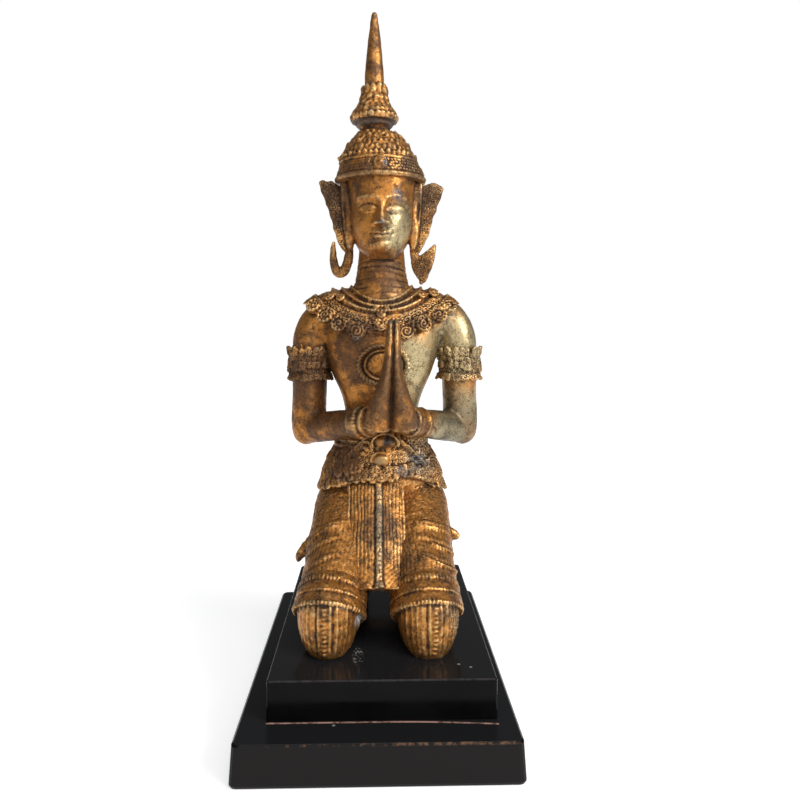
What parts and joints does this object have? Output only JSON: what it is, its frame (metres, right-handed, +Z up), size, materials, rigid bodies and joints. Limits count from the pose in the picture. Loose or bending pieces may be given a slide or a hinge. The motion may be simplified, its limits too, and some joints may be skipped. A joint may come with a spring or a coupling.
{
  "type": "thepphanom figure",
  "caption": "Kneeling celestial figure with joined palms and a tall spired crown, worn gilt bronze, on a stepped black lacquered wooden plinth; stands on a flat surface.",
  "frame": {"origin": "middle of the plinth's underside", "axes": "+Z up; the figure faces -Y, and its left hand is towards +X"},
  "size_m": [0.1742, 0.233, 0.5145],
  "materials": {
    "gilt_bronze": "worn gilding over dark patina",
    "black_lacquer": "black lacquer, glossy and slightly worn"
  },
  "bodies": {
    "root": {"figure": "gilt_bronze", "plinth_upper_board": "black_lacquer", "plinth_lower_board": "black_lacquer"}
  },
  "joints": []
}
